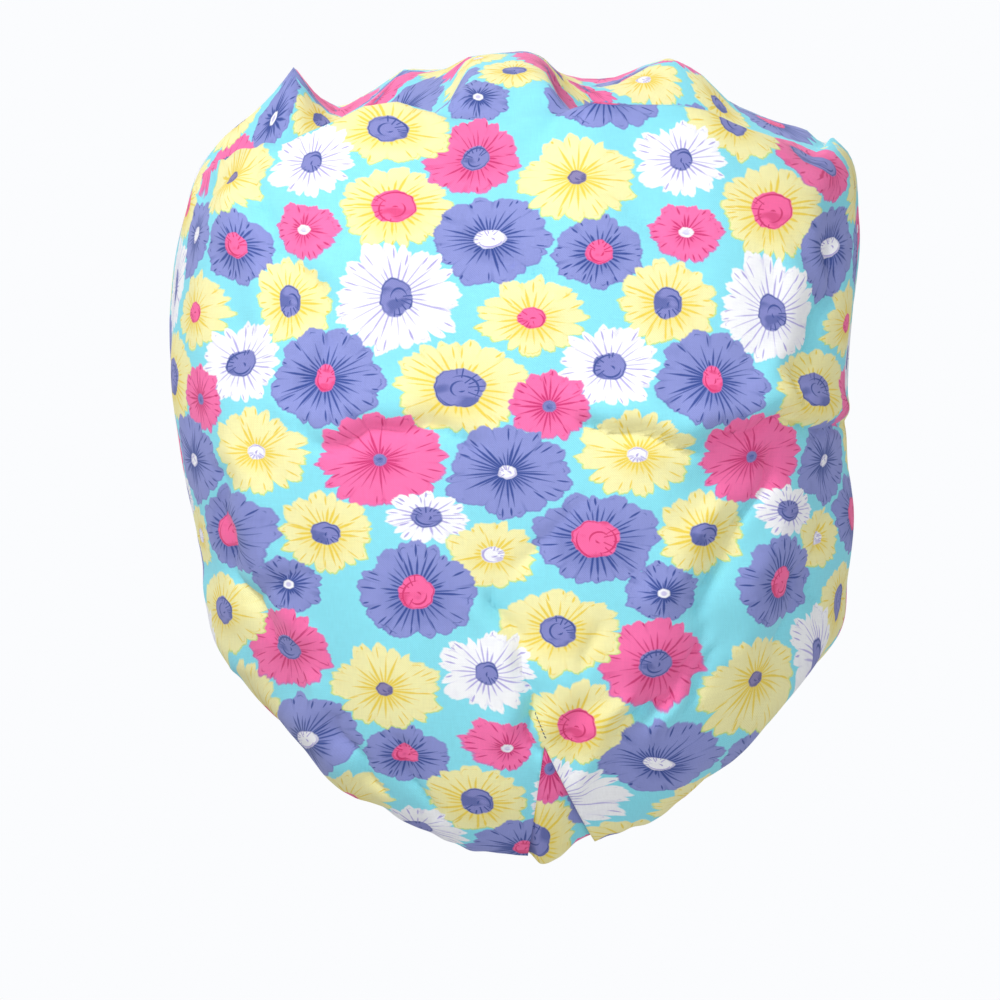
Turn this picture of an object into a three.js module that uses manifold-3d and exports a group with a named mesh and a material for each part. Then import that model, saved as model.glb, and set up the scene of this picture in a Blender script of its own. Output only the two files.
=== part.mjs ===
// Surgical scrub cap: a bouffant (long-hair) theatre cap sewn from printed cotton, in the shape that it
// takes when it is worn. Millimetres, +Z up. The wearer faces -Y, so the full back of the bag faces +Y
// and the wearer's left side is +X. The origin is the middle of the head opening, level with the lower
// edge of the forehead band.
import * as THREE from 'three';
import { mergeVertices } from 'three/addons/utils/BufferGeometryUtils.js';
import Module from 'manifold-3d';

// ---- Cloth and seams ----
const BAG_WALL = 1.6;
const BAND_WALL = 2.4;
const GUSSET_WALL = 1.2;
const SEAM_GAP = 0.6;

// ---- Grid over the bag: columns round it, rows from the edge to the crown ----
const BAG_COLUMNS = 78;
const ROWS_PER_RING = 2;

// ---- Rings of the bag, from the turned-in edge up to the middle of the crown ----
// left, right: half widths towards +X and -X. rear, fore: Y of the ring's back and front.
// mid: Y where the ring is widest. zRear, zSide, zFore: heights at the back, the sides and the front.
// square: how square the back half is, where 2 is an ellipse.
const RINGS = [
  { left: 83, right: 91, rear: 78, fore: -88, mid: 0, zRear: -53, zSide: -1, zFore: 63, square: 2.2 },
  { left: 92, right: 101, rear: 89, fore: -96, mid: 0, zRear: -60, zSide: -9, zFore: 61, square: 2.3 },
  { left: 105, right: 116, rear: 106, fore: -101, mid: 3, zRear: -47, zSide: 8, zFore: 67, square: 2.7 },
  { left: 108, right: 119, rear: 122, fore: -104, mid: 6, zRear: -24, zSide: 28, zFore: 77, square: 2.9 },
  { left: 112, right: 120.5, rear: 134, fore: -105, mid: 9, zRear: 5, zSide: 52, zFore: 90, square: 3.1 },
  { left: 117, right: 118, rear: 142, fore: -104, mid: 11, zRear: 41, zSide: 78, zFore: 106, square: 3.3 },
  { left: 121, right: 119, rear: 146, fore: -99, mid: 13, zRear: 78, zSide: 104, zFore: 124, square: 3.3 },
  { left: 120, right: 122, rear: 144, fore: -91, mid: 15, zRear: 114, zSide: 130, zFore: 142, square: 3.2 },
  { left: 116, right: 123, rear: 137, fore: -79, mid: 18, zRear: 148, zSide: 155, zFore: 160, square: 3.0 },
  { left: 107, right: 118, rear: 120, fore: -61, mid: 22, zRear: 179, zSide: 180, zFore: 177, square: 2.6 },
  { left: 84, right: 88, rear: 97, fore: -34, mid: 26, zRear: 200, zSide: 197, zFore: 192, square: 2.3 },
  { left: 46, right: 48, rear: 66, fore: -4, mid: 30, zRear: 209, zSide: 206, zFore: 204, square: 2.1 },
  { left: 0, right: 0, rear: 32, fore: 32, mid: 32, zRear: 211, zSide: 211, zFore: 211, square: 2.0 },
];
const FREE_EDGE_RING = 1;
const LAST_RING = RINGS.length - 1;
const FRONT_SQUARENESS = 2.3;
const SWEEP_ROUND = 2.3;
const SWEEP_POWER = 1.1;
// The lower edge comes down further at the nape, as the elastic leaves it: x, width and drop.
const NAPE_POINTS = [
  { x: -11, width: 12, drop: 4.5 },
  { x: -49, width: 15, drop: 4 },
];
const NAPE_POINT_REACH = 0.08;

// ---- Folds on the back and sides, as seen from behind: a line from x0, z0 to x1, z1 ----
// rise is how far the cloth stands out along the line, or is drawn in where it is negative.
const BACK_FOLDS = [
  { x0: -34, z0: 92, x1: -108, z1: 94, width: 8, rise: 4.5 },
  { x0: -40, z0: 80, x1: -112, z1: 82, width: 7, rise: -4 },
  { x0: -88, z0: 76, x1: -76, z1: 54, width: 8, rise: -3.5 },
  { x0: -76, z0: 54, x1: -46, z1: -8, width: 9, rise: -3.5 },
  { x0: -112, z0: 150, x1: -103, z1: 94, width: 7, rise: -4 },
  { x0: 90, z0: 172, x1: 64, z1: 118, width: 8, rise: -3.5 },
  { x0: 64, z0: 84, x1: 26, z1: 85, width: 8, rise: -3 },
  { x0: -11, z0: -20, x1: 5, z1: 34, width: 6, rise: -3 },
  { x0: 56, z0: -40, x1: 70, z1: 0, width: 10, rise: 2.5 },
  { x0: 104, z0: 70, x1: 84, z1: 10, width: 12, rise: -2.5 },
];

// ---- Folds on the crown, as seen from above: a line from x0, y0 to x1, y1 ----
const CROWN_FOLDS = [
  { x0: 100, y0: 74, x1: 52, y1: 62, width: 17, rise: -15 },
  { x0: 84, y0: 30, x1: 72, y1: 32, width: 15, rise: 11 },
  { x0: 40, y0: 26, x1: 20, y1: 30, width: 14, rise: 5 },
  { x0: 4, y0: 74, x1: -10, y1: 70, width: 18, rise: 6 },
  { x0: -32, y0: 68, x1: -76, y1: 66, width: 16, rise: -13 },
  { x0: -48, y0: 28, x1: -64, y1: 28, width: 15, rise: 9 },
  { x0: -92, y0: 34, x1: -104, y1: 34, width: 12, rise: 5 },
];
const CROWN_FOLDS_FROM = 135;
const CROWN_FOLDS_FULL = 178;

// ---- Forehead band, from ear to ear round the front ----
const BAND_START = 0.28;
const BAND_END = 0.72;
const BAND_COLUMNS = 44;
const BAND_ROWS = 5;
const BAND_LOWER_EDGE_AT_EARS = -19;
const BAND_LOWER_EDGE_AT_FRONT = 0;
const BAND_SQUARENESS = 2.2;
const BAND_TOP = { left: 90, right: 97, fore: -96 };
const BAND_FOOT = { left: 83, right: 87, fore: -97 };

// ---- Nape gusset: the wedge left open at the middle of the nape, as seen from behind ----
const WEDGE_APEX = { x: -11, z: -19 };
const WEDGE_LEFT_FOOT = { x: -1, z: -77 };
const WEDGE_RIGHT_FOOT = { x: -42, z: -77 };
const WEDGE_FRONT = 40;
const WEDGE_BACK = 160;
const GUSSET_UNDERLAP = 4;

// ---- Finishes ----
const PRINTED_COTTON = { color: 0x8f8fbf, roughness: 0.85, metalness: 0 };
const BAND_COTTON = { color: 0x6cd0d8, roughness: 0.85, metalness: 0 };
const GUSSET_COTTON = { color: 0xf5e98c, roughness: 0.85, metalness: 0 };

const wasm = await Module();
wasm.setup();

// A smooth value between the rows of a table, for one of its columns.
function betweenRows(table, place, column) {
  const last = table.length - 1;
  const row = Math.min(Math.floor(place), last - 1);
  const part = place - row;
  const before = table[Math.max(row - 1, 0)][column];
  const from = table[row][column];
  const to = table[row + 1][column];
  const after = table[Math.min(row + 2, last)][column];
  const slopeFrom = (to - before) / 2;
  const slopeTo = (after - from) / 2;
  const square = part * part;
  const cube = square * part;
  return from * (2 * cube - 3 * square + 1) + slopeFrom * (cube - 2 * square + part)
    + to * (3 * square - 2 * cube) + slopeTo * (cube - square);
}

// How far a direction reaches to a rounded square, where a squareness of 2 is a circle.
function squareCorner(side, end, squareness) {
  return (Math.abs(side) ** squareness + Math.abs(end) ** squareness) ** (1 / squareness);
}

// The smooth form of the bag. around: 0 at the middle of the back, 0.25 at +X, 0.5 at the front.
// up: 0 at the turned-in edge, 1 at the middle of the crown.
function smoothBag(around, up) {
  const ring = (column) => betweenRows(RINGS, up * LAST_RING, column);
  const angle = 2 * Math.PI * around;
  const side = Math.sin(angle);
  const rear = Math.cos(angle);
  const square = rear > 0 ? ring('square') : FRONT_SQUARENESS;
  const corner = squareCorner(side, rear, square);
  const mid = ring('mid');
  const halfWidth = side > 0 ? ring('left') : ring('right');
  const reach = rear > 0 ? ring('rear') - mid : mid - ring('fore');
  const heightAtEnd = rear > 0 ? ring('zRear') : ring('zFore');
  const sweep = Math.max(1 - Math.abs(side / corner) ** SWEEP_ROUND, 0) ** SWEEP_POWER;
  return new THREE.Vector3(
    (side / corner) * halfWidth,
    mid + (rear / corner) * reach,
    ring('zSide') + (heightAtEnd - ring('zSide')) * sweep,
  );
}

// The direction that a surface faces, found from points a short way off.
function facing(surface, around, up) {
  const step = 0.004;
  const low = Math.max(up - step, 0);
  const high = Math.min(up + step, 0.998);
  const across = surface(around + step, high === 0.998 ? 0.996 : up).sub(
    surface(around - step, high === 0.998 ? 0.996 : up));
  const upward = surface(around, high).sub(surface(around, low));
  return across.cross(upward).normalize().negate();
}

// How strongly a fold acts at a distance from its line.
function foldAt(fold, across, along, startAlong, endAlong) {
  const line = new THREE.Vector2(fold.x1 - fold.x0, endAlong - startAlong);
  const from = new THREE.Vector2(across - fold.x0, along - startAlong);
  const share = THREE.MathUtils.clamp(from.dot(line) / line.lengthSq(), 0, 1);
  const distance = from.sub(line.multiplyScalar(share)).length();
  return fold.rise * Math.exp(-((distance / fold.width) ** 2));
}

function foldedBag(around, up) {
  const point = smoothBag(around, up);
  const out = facing(smoothBag, around, up);
  const behind = THREE.MathUtils.smoothstep(point.y, 10, 50);
  const onCrown = THREE.MathUtils.smoothstep(point.z, CROWN_FOLDS_FROM, CROWN_FOLDS_FULL);
  let rise = 0;
  for (const fold of BACK_FOLDS) {
    rise += behind * (1 - onCrown) * foldAt(fold, point.x, point.z, fold.z0, fold.z1);
  }
  let lift = 0;
  for (const fold of CROWN_FOLDS) {
    lift += onCrown * foldAt(fold, point.x, point.y, fold.y0, fold.y1);
  }
  const nearEdge = Math.exp(-Math.abs(up - FREE_EDGE_RING / LAST_RING) / NAPE_POINT_REACH);
  for (const tip of NAPE_POINTS) {
    lift -= tip.drop * behind * nearEdge * Math.exp(-(((point.x - tip.x) / tip.width) ** 2));
  }
  return point.addScaledVector(out, rise).add(new THREE.Vector3(0, 0, lift));
}

// A closed sheet of cloth between two depths under the bag's face, from one ring up to the crown.
function bagSheet(lowestRing, outerDepth, innerDepth) {
  const columns = BAG_COLUMNS;
  const rows = (LAST_RING - lowestRing) * ROWS_PER_RING;
  const lowest = lowestRing / LAST_RING;
  const positions = [];
  const triangles = [];
  const layerAt = (depth) => {
    const first = positions.length / 3;
    for (let row = 0; row < rows; row += 1) {
      const up = lowest + (1 - lowest) * (row / rows);
      for (let column = 0; column < columns; column += 1) {
        const around = column / columns;
        const out = facing(foldedBag, around, up);
        positions.push(...foldedBag(around, up).addScaledVector(out, -depth).toArray());
      }
    }
    const crown = foldedBag(0, 1);
    positions.push(crown.x, crown.y, crown.z - depth);
    return first;
  };
  const outer = layerAt(outerDepth);
  const inner = layerAt(innerDepth);
  const next = (column) => (column + 1) % columns;
  const addFace = (a, b, c, inward) => triangles.push(...(inward ? [a, c, b] : [a, b, c]));
  for (const [first, inward] of [[outer, false], [inner, true]]) {
    const at = (row, column) => first + row * columns + column;
    for (let row = 0; row < rows - 1; row += 1) {
      for (let column = 0; column < columns; column += 1) {
        addFace(at(row, column), at(row + 1, column), at(row + 1, next(column)), inward);
        addFace(at(row, column), at(row + 1, next(column)), at(row, next(column)), inward);
      }
    }
    const top = first + rows * columns;
    for (let column = 0; column < columns; column += 1) {
      addFace(at(rows - 1, column), top, at(rows - 1, next(column)), inward);
    }
  }
  for (let column = 0; column < columns; column += 1) {
    addFace(outer + column, outer + next(column), inner + next(column), false);
    addFace(outer + column, inner + next(column), inner + column, false);
  }
  const geometry = new THREE.BufferGeometry();
  geometry.setAttribute('position', new THREE.Float32BufferAttribute(positions, 3));
  geometry.setIndex(triangles);
  return geometry;
}

function solidOf(geometry) {
  const bare = geometry.clone();
  bare.deleteAttribute('normal');
  bare.deleteAttribute('uv');
  const merged = mergeVertices(bare, 1e-4);
  return new wasm.Manifold(new wasm.Mesh({
    numProp: 3,
    vertProperties: new Float32Array(merged.attributes.position.array),
    triVerts: new Uint32Array(merged.index.array),
  }));
}

function geometryOf(solid) {
  const mesh = solid.getMesh();
  const geometry = new THREE.BufferGeometry();
  geometry.setAttribute('position', new THREE.BufferAttribute(mesh.vertProperties, 3));
  geometry.setIndex(new THREE.BufferAttribute(mesh.triVerts, 1));
  geometry.computeVertexNormals();
  return geometry;
}

// The wedge-shaped block over the nape, grown sideways and upwards by a margin.
function napeWedge(margin) {
  const outline = new THREE.Shape();
  outline.moveTo(WEDGE_APEX.x, WEDGE_APEX.z + 2 * margin);
  outline.lineTo(WEDGE_RIGHT_FOOT.x - margin, WEDGE_RIGHT_FOOT.z);
  outline.lineTo(WEDGE_LEFT_FOOT.x + margin, WEDGE_LEFT_FOOT.z);
  outline.closePath();
  const depth = WEDGE_BACK - WEDGE_FRONT;
  const block = new THREE.ExtrudeGeometry(outline, { depth, bevelEnabled: false });
  block.rotateX(Math.PI / 2);
  block.translate(0, WEDGE_BACK, 0);
  return solidOf(block);
}

function makeCrownBag() {
  const whole = solidOf(bagSheet(0, 0, BAG_WALL));
  return geometryOf(whole.subtract(napeWedge(0)));
}

function makeNapeGusset() {
  const depth = BAG_WALL + SEAM_GAP;
  const lining = solidOf(bagSheet(FREE_EDGE_RING, depth, depth + GUSSET_WALL));
  return geometryOf(lining.intersect(napeWedge(GUSSET_UNDERLAP)));
}

// A point of the forehead band. down: 0 at its top edge, 1 at its lower edge.
function bandPoint(around, down) {
  const angle = 2 * Math.PI * around;
  const side = Math.sin(angle);
  const fore = -Math.cos(angle);
  const corner = squareCorner(side, fore, BAND_SQUARENESS);
  const size = (name) => THREE.MathUtils.lerp(BAND_TOP[name], BAND_FOOT[name], down);
  const freeEdge = smoothBag(around, FREE_EDGE_RING / LAST_RING).z - BAG_WALL - SEAM_GAP;
  const lowerEdge = THREE.MathUtils.lerp(BAND_LOWER_EDGE_AT_EARS, BAND_LOWER_EDGE_AT_FRONT,
    THREE.MathUtils.smoothstep(fore, -0.2, 1));
  return new THREE.Vector3(
    (side / corner) * (side > 0 ? size('left') : size('right')),
    (fore / corner) * size('fore'),
    THREE.MathUtils.lerp(freeEdge, lowerEdge, down),
  );
}

// A closed strip of cloth: its outer face, its inner face, and the four edges between them.
function makeForeheadBand() {
  const positions = [];
  const triangles = [];
  const columns = BAND_COLUMNS + 1;
  const rows = BAND_ROWS + 1;
  for (const depth of [0, BAND_WALL]) {
    for (let row = 0; row < rows; row += 1) {
      for (let column = 0; column < columns; column += 1) {
        const around = THREE.MathUtils.lerp(BAND_START, BAND_END, column / BAND_COLUMNS);
        const down = row / BAND_ROWS;
        const point = bandPoint(around, down);
        const ahead = bandPoint(around + 0.002, down).sub(bandPoint(around - 0.002, down));
        const inward = new THREE.Vector3(ahead.y, -ahead.x, 0).normalize();
        positions.push(...point.addScaledVector(inward, depth).toArray());
      }
    }
  }
  const inner = columns * rows;
  const at = (row, column) => row * columns + column;
  const addQuad = (a, b, c, d) => triangles.push(a, b, c, a, c, d);
  for (let row = 0; row < BAND_ROWS; row += 1) {
    for (let column = 0; column < BAND_COLUMNS; column += 1) {
      const [a, b] = [at(row, column), at(row + 1, column)];
      const [d, c] = [at(row, column + 1), at(row + 1, column + 1)];
      addQuad(a, d, c, b);
      addQuad(inner + a, inner + b, inner + c, inner + d);
    }
  }
  for (let column = 0; column < BAND_COLUMNS; column += 1) {
    const [top, topNext] = [at(0, column), at(0, column + 1)];
    const [foot, footNext] = [at(BAND_ROWS, column), at(BAND_ROWS, column + 1)];
    addQuad(top, inner + top, inner + topNext, topNext);
    addQuad(foot, footNext, inner + footNext, inner + foot);
  }
  for (let row = 0; row < BAND_ROWS; row += 1) {
    const [start, startBelow] = [at(row, 0), at(row + 1, 0)];
    const [end, endBelow] = [at(row, BAND_COLUMNS), at(row + 1, BAND_COLUMNS)];
    addQuad(start, startBelow, inner + startBelow, inner + start);
    addQuad(end, inner + end, inner + endBelow, endBelow);
  }
  const geometry = new THREE.BufferGeometry();
  geometry.setAttribute('position', new THREE.Float32BufferAttribute(positions, 3));
  geometry.setIndex(triangles);
  geometry.computeVertexNormals();
  return geometry;
}

function makePiece(name, geometry, finish) {
  const piece = new THREE.Mesh(geometry, new THREE.MeshStandardMaterial(finish));
  piece.name = name;
  return piece;
}

const scrubCap = new THREE.Group();
scrubCap.add(makePiece('crown_bag', makeCrownBag(), PRINTED_COTTON));
scrubCap.add(makePiece('forehead_band', makeForeheadBand(), BAND_COTTON));
scrubCap.add(makePiece('nape_gusset', makeNapeGusset(), GUSSET_COTTON));

export default scrubCap;
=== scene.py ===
import math
import bmesh
import bpy
import mathutils.bvhtree
import numpy as np
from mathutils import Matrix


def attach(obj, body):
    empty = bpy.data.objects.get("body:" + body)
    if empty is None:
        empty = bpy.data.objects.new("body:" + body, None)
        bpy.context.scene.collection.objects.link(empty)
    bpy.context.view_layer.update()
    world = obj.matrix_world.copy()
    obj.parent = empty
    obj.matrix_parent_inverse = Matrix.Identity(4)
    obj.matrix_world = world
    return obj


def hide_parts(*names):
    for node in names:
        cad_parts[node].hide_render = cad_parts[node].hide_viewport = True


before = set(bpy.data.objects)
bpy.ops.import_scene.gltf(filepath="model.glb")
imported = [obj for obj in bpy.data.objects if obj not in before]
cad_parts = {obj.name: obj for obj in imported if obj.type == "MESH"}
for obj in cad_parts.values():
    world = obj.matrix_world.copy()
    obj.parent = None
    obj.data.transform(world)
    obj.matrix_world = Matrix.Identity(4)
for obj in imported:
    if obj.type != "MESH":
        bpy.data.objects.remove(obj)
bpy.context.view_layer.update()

# ---------------------------------------------------------------------------------------------
# Crown bag: the big gathered pouch of a bouffant theatre cap, one layer of printed cotton.
# It stands out full behind the head, falls in loose folds on the crown, and its edge is turned
# in round the nape, where an elastic runs in the casing.

MM = 0.001

# Rings of the bag from the turned-in edge up to the middle of the crown, in mm: half widths
# towards +X and -X, Y of the back, the front and the widest line, the heights at the back, the
# sides and the front, and how square the back half is: 2 is an ellipse.
RING_COLUMNS = ("left", "right", "rear", "fore", "mid", "z_rear", "z_side", "z_fore", "square")
RINGS = (
    (83, 91, 78, -88, 0, -53, -1, 63, 2.2),
    (92, 101, 89, -96, 0, -60, -9, 61, 2.3),
    (105, 116, 106, -101, 3, -47, 8, 67, 2.7),
    (108, 119, 122, -104, 6, -24, 28, 77, 2.9),
    (112, 120.5, 134, -105, 9, 5, 52, 90, 3.1),
    (117, 118, 142, -104, 11, 41, 78, 106, 3.3),
    (121, 119, 146, -99, 13, 78, 104, 124, 3.3),
    (120, 122, 144, -91, 15, 114, 130, 142, 3.2),
    (116, 123, 137, -79, 18, 148, 155, 160, 3.0),
    (107, 118, 120, -61, 22, 179, 180, 177, 2.6),
    (84, 88, 97, -34, 26, 200, 197, 192, 2.3),
    (46, 48, 66, -4, 30, 209, 206, 204, 2.1),
    (0, 0, 32, 32, 32, 211, 211, 211, 2.0),
)
FRONT_SQUARENESS = 2.3
SWEEP_ROUND, SWEEP_POWER = 2.3, 1.1


def between_rows(table, place):
    """A smooth value between the rows of a table, for every place in an array."""
    rows = np.asarray(table, dtype=float)
    last = len(rows) - 1
    row = np.minimum(np.floor(place).astype(int), last - 1)
    part = (place - row)
    before, start = rows[np.maximum(row - 1, 0)], rows[row]
    end, after = rows[row + 1], rows[np.minimum(row + 2, last)]
    slope_start, slope_end = (end - before) / 2, (after - start) / 2
    square, cube = part ** 2, part ** 3
    return (start * (2 * cube - 3 * square + 1) + slope_start * (cube - 2 * square + part)
            + end * (3 * square - 2 * cube) + slope_end * (cube - square))


def ring_sizes(up):
    place = np.clip(up, 0, 1) * (len(RINGS) - 1)
    columns = np.asarray(RINGS, dtype=float).T
    return {name: between_rows(column, place) for name, column in zip(RING_COLUMNS, columns)}


def smooth_bag(around, up):
    """around: 0 at the middle of the back, 0.25 at +X. up: 0 at the edge, 1 at the crown."""
    ring = ring_sizes(up)
    side, rear = np.sin(2 * np.pi * around), np.cos(2 * np.pi * around)
    square = np.where(rear > 0, ring["square"], FRONT_SQUARENESS)
    corner = (np.abs(side) ** square + np.abs(rear) ** square) ** (1 / square)
    half_width = np.where(side > 0, ring["left"], ring["right"])
    reach = np.where(rear > 0, ring["rear"] - ring["mid"], ring["mid"] - ring["fore"])
    end_height = np.where(rear > 0, ring["z_rear"], ring["z_fore"])
    sweep = np.maximum(1 - np.abs(side / corner) ** SWEEP_ROUND, 0) ** SWEEP_POWER
    return np.stack([side / corner * half_width, ring["mid"] + rear / corner * reach,
                     ring["z_side"] + (end_height - ring["z_side"]) * sweep], axis=-1)


def facing(surface, around, up, step=0.002):
    """The direction that a surface faces, from points a short way off."""
    inside = np.minimum(up, 0.996)
    across = surface(around + step, inside) - surface(around - step, inside)
    upward = surface(around, np.minimum(inside + step, 0.999))
    upward = upward - surface(around, np.maximum(inside - step, 0))
    out = np.cross(upward, across)
    return out / np.maximum(np.linalg.norm(out, axis=-1, keepdims=True), 1e-9)


def ease(value, low, high):
    share = np.clip((value - low) / (high - low), 0, 1)
    return share * share * (3 - 2 * share)


# Folds on the back and sides as seen from behind: a line from x0, z0 to x1, z1, how wide the fold
# is, how far the cloth stands out (or is drawn in), and how crisp it is: 0 a roll, 1 a crease.
FOLD_COLUMNS = ("x0", "z0", "x1", "z1", "width", "rise", "crisp")
FOLDS = (
    (-26, 93, -112, 95, 9, 6.2, 0.0),
    (-24, 86, -114, 87, 2.6, -5.5, 1.0),
    (-44, 72, -108, 72, 10, -1.8, 0.0),
    (-88, 78, -77, 56, 2.6, -4.0, 1.0),
    (-77, 56, -64, 30, 2.6, -5.0, 1.0),
    (-64, 30, -46, -8, 2.6, -4.0, 1.0),
    (-64, 62, -50, 32, 8, 3.0, 0.0),
    (-52, 34, -36, 0, 8, 2.8, 0.0),
    (-92, 50, -74, 10, 9, 2.8, 0.0),
    (-118, 166, -108, 150, 6, -2.8, 0.0),
    (-108, 150, -100, 124, 2.6, -4.0, 1.0),
    (-100, 124, -98, 96, 2.6, -4.8, 1.0),
    (-90, 140, -88, 104, 7, 2.8, 0.0),
    (88, 176, 74, 142, 2.6, -3.8, 1.0),
    (74, 142, 61, 120, 2.6, -4.2, 1.0),
    (94, 164, 82, 118, 9, 3.4, 0.0),
    (70, 160, 58, 134, 8, 2.8, 0.0),
    (61, 120, 70, 90, 2.2, -2.9, 1.0),
    (66, 86, 14, 86, 2.6, -3.8, 1.0),
    (72, 95, 16, 95, 8, 3.0, 0.0),
    (70, 40, 92, 22, 2.6, -2.9, 1.0),
    (13, 154, -9, 133, 2.2, -3.1, 1.0),
    (36, 148, 60, 150, 2.2, -2.1, 1.0),
    (-40, 152, -60, 140, 2.2, -2.1, 1.0),
    (4, 184, -18, 193, 4, 3.1, 0.0),
    (2, 178, -22, 187, 5, -2.4, 0.0),
    (-11, -20, 0, 10, 2.2, -4.8, 1.0),
    (0, 10, 5, 34, 2.2, -4.0, 1.0),
    (-1, -14, 11, 30, 7, 2.5, 0.0),
    (-18, -14, -8, 14, 6, 2.1, 0.0),
    (-40, -17, -48, -2, 2.2, -4.0, 1.0),
    (-58, -2, -63, 14, 2.2, -4.0, 1.0),
    (-50, -16, -55, 16, 5, 2.5, 0.0),
    (-20, 2, -28, 22, 2.2, -2.1, 1.0),
    (-24, -40, -36, -4, 5, 3.0, 0.0),
    (56, -40, 70, 0, 8, 3.4, 0.0),
    (46, -42, 58, -8, 2.2, -3.8, 1.0),
    (30, -50, 36, -20, 2.2, -3.1, 1.0),
    (104, 70, 86, 14, 2.6, -4.2, 1.0),
    (94, 74, 76, 20, 9, 2.8, 0.0),
    (112, 40, 98, -2, 8, 3.0, 0.0),
    (-112, 60, -104, 20, 2.6, -3.4, 1.0),
    (-104, 40, -88, 2, 2.6, -3.1, 1.0),
    (-20, 60, -2, 44, 2.2, -1.9, 1.0),
)
# The folds wander as the cloth does: how far, and over what length, in mm.
WANDER = ((3.2, 61, 0.6), (1.4, 23, 2.2))

# Heights across the crown, from +X to -X: the upper rim of the back, the dip before it, and the
# ridge that stands up in front, where the spare cloth has fallen into folds.
CROWN_COLUMNS = ("x", "rim", "dip", "ridge")
CROWN = (
    (112, 172, 172, 178),
    (100, 178, 176, 186),
    (91, 182, 176, 193),
    (84, 183, 175, 200),
    (77, 183, 174, 209),
    (70, 186, 175, 198),
    (62, 189, 178, 190),
    (50, 195, 184, 197),
    (39, 196, 188, 207),
    (27, 192, 192, 207),
    (14, 187, 203, 211),
    (0, 187, 206, 213),
    (-12, 190, 202, 208),
    (-20, 194, 193, 204),
    (-28, 196, 185, 201),
    (-38, 195, 181, 203),
    (-48, 195, 181, 209),
    (-56, 195, 183, 212),
    (-66, 193, 186, 207),
    (-78, 187, 186, 195),
    (-91, 183, 184, 190),
    (-104, 178, 181, 187),
    (-114, 168, 173, 178),
)
RIM_MIDDLE, RIM_REACH, RIM_HALF_WIDTH, RIM_SQUARENESS = 23, 90, 112, 2.6
RIM_HEIGHT = 184
RIM_LIFT_FROM = -0.8
RIM_ROLL = 7
RIDGE_Y = 34


def fold_rise(point):
    """How far each point of the back and sides stands out of the smooth form."""
    rise = np.zeros(point.shape[:-1])
    x, z = point[..., 0].copy(), point[..., 2].copy()
    for far, length, start in WANDER:
        turn = 2 * np.pi / length
        x, z = x + far * np.sin(turn * z + start), z + far * np.sin(turn * x + 2 * start)
    for row in FOLDS:
        fold = dict(zip(FOLD_COLUMNS, row))
        line = np.array([fold["x1"] - fold["x0"], fold["z1"] - fold["z0"]], dtype=float)
        away = np.stack([x - fold["x0"], z - fold["z0"]], axis=-1)
        share = np.clip(away @ line / (line @ line), 0, 1)
        off = away - share[..., None] * line
        distance = np.linalg.norm(off, axis=-1)
        ends = 0.55 + 0.45 * np.sin(np.pi * np.clip(share, 0.02, 0.98)) ** 0.7
        reach = distance / fold["width"] / ends
        rise += fold["rise"] * ends * np.exp(-reach ** (2 - fold["crisp"]))
    return rise


def rim_share(point):
    """How far a point has gone over the back rim of the crown: 0 on the rim, 1 on the front ridge."""
    rim_y = RIM_MIDDLE + RIM_REACH * np.maximum(
        1 - np.abs(point[..., 0] / RIM_HALF_WIDTH) ** RIM_SQUARENESS, 0.02) ** (1 / RIM_SQUARENESS)
    return (rim_y - point[..., 1]) / (rim_y - RIDGE_Y)


def across_crown(x):
    table = np.asarray(CROWN, dtype=float)[::-1]
    return [np.interp(x, table[:, 0], table[:, column]) for column in (1, 2, 3)]


def rim_lift(point):
    """How far the back of the bag is drawn up towards its rim."""
    rim = across_crown(point[..., 0])[0]
    inside = 1 - ease(np.abs(point[..., 0]), 98, 118)
    lift = (rim - RIM_HEIGHT) * ease(rim_share(point), RIM_LIFT_FROM, 0)
    return lift * inside * ease(point[..., 2], 90, 150)


def drape_crown(point):
    """Draws the back up to its rim, lets the crown fall behind it and stands up its front ridge."""
    share = rim_share(point)
    rim, dip, ridge = across_crown(point[..., 0])
    dropped = ease(share, 0, 0.13)
    height = rim + (dip - rim) * dropped + (ridge - dip) * ease(share, 0.42, 1)
    hold = ease(share, -0.1, 0.04) * (1 - ease(share, 1, 2.6))
    hold = hold * (1 - ease(np.abs(point[..., 0]), 98, 118))
    hold = hold * ease(point[..., 2], 120, 165) * ease(rim - dip, -20, -6)
    lifted = point.copy()
    lifted[..., 2] += rim_lift(point)
    lifted[..., 2] += (height - lifted[..., 2]) * hold
    roll = ease(rim - dip, 2, 9) * np.exp(-((share + 0.03) / 0.09) ** 2)
    lifted[..., 1] += RIM_ROLL * roll * hold
    return lifted


# Where the edge comes down lower at the nape: its X, how wide it is and how far down it comes.
NAPE_POINTS = ((-11, 12, 4.5), (-49, 15, 4.0))
# Waves of the loose cloth: how many go round, how they climb, where they start and how high they
# stand. The gathers at the edge are the same without the climb.
WAVES = ((5, 1.2, 0.4, 0.8), (8, -1.6, 2.1, 0.8), (13, 2.7, 4.4, 0.5), (21, -3.2, 1.2, 0.3))
EDGE_GATHERS = ((46, 0.3, 0.9), (71, 1.9, 0.6), (29, 4.0, 0.8))
EDGE_GATHER_REACH = 20


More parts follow.
